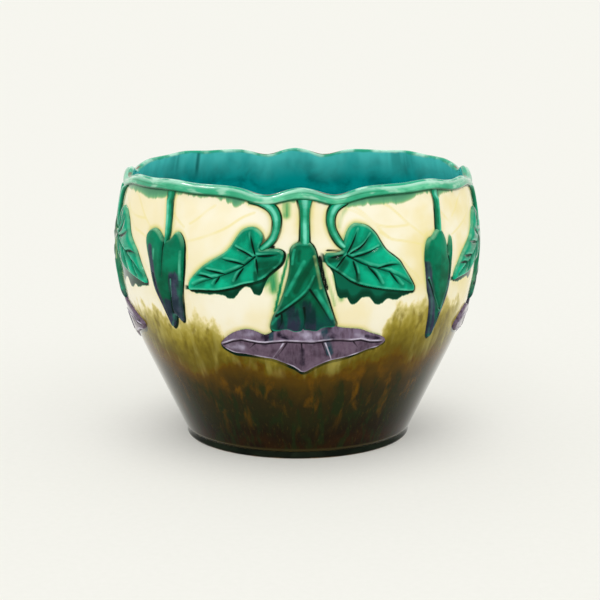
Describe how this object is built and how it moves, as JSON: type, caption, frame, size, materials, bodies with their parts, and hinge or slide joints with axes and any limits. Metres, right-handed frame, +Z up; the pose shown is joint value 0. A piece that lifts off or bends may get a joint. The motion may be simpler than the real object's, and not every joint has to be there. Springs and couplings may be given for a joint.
{
  "type": "jardiniere",
  "caption": "Round glazed jardiniere on a low foot ring, with a wavy vine rim and hanging trumpet flowers, leaves and buds in relief.",
  "frame": {"origin": "centre of the foot ring, on the ground", "axes": "+Z up along the axis of the pot; the middle line of the front face looks along -Y, and +X is to the right of someone who looks at that face"},
  "size_m": [0.3034, 0.3034, 0.2244],
  "materials": {
    "ground_glaze": "high gloss",
    "foot_glaze": "high gloss",
    "vine_glaze": "high gloss",
    "stem_glaze": "high gloss",
    "leaf_glaze": "high gloss",
    "flower_tube_glaze": "high gloss",
    "flower_bell_glaze": "high gloss",
    "bud_glaze": "high gloss"
  },
  "bodies": {
    "root": {"bowl_wall": "ground_glaze", "foot_ring": "foot_glaze", "rim_vine": "vine_glaze", "front_flower_stem": "stem_glaze", "front_flower_tube": "flower_tube_glaze", "front_flower_bell": "flower_bell_glaze", "front_leaf_stem_left": "stem_glaze", "front_leaf_stem_right": "stem_glaze", "front_leaf_left": "leaf_glaze", "front_leaf_right": "leaf_glaze", "right_flower_stem": "stem_glaze", "right_flower_tube": "flower_tube_glaze", "right_flower_bell": "flower_bell_glaze", "right_leaf_stem_left": "stem_glaze", "right_leaf_stem_right": "stem_glaze", "right_leaf_left": "leaf_glaze", "right_leaf_right": "leaf_glaze", "back_flower_stem": "stem_glaze", "back_flower_tube": "flower_tube_glaze", "back_flower_bell": "flower_bell_glaze", "back_leaf_stem_left": "stem_glaze", "back_leaf_stem_right": "stem_glaze", "back_leaf_left": "leaf_glaze", "back_leaf_right": "leaf_glaze", "left_flower_stem": "stem_glaze", "left_flower_tube": "flower_tube_glaze", "left_flower_bell": "flower_bell_glaze", "left_leaf_stem_left": "stem_glaze", "left_leaf_stem_right": "stem_glaze", "left_leaf_left": "leaf_glaze", "left_leaf_right": "leaf_glaze", "front_right_bud_stem": "stem_glaze", "front_right_bud": "bud_glaze", "back_right_bud_stem": "stem_glaze", "back_right_bud": "bud_glaze", "back_left_bud_stem": "stem_glaze", "back_left_bud": "bud_glaze", "front_left_bud_stem": "stem_glaze", "front_left_bud": "bud_glaze"}
  },
  "joints": []
}
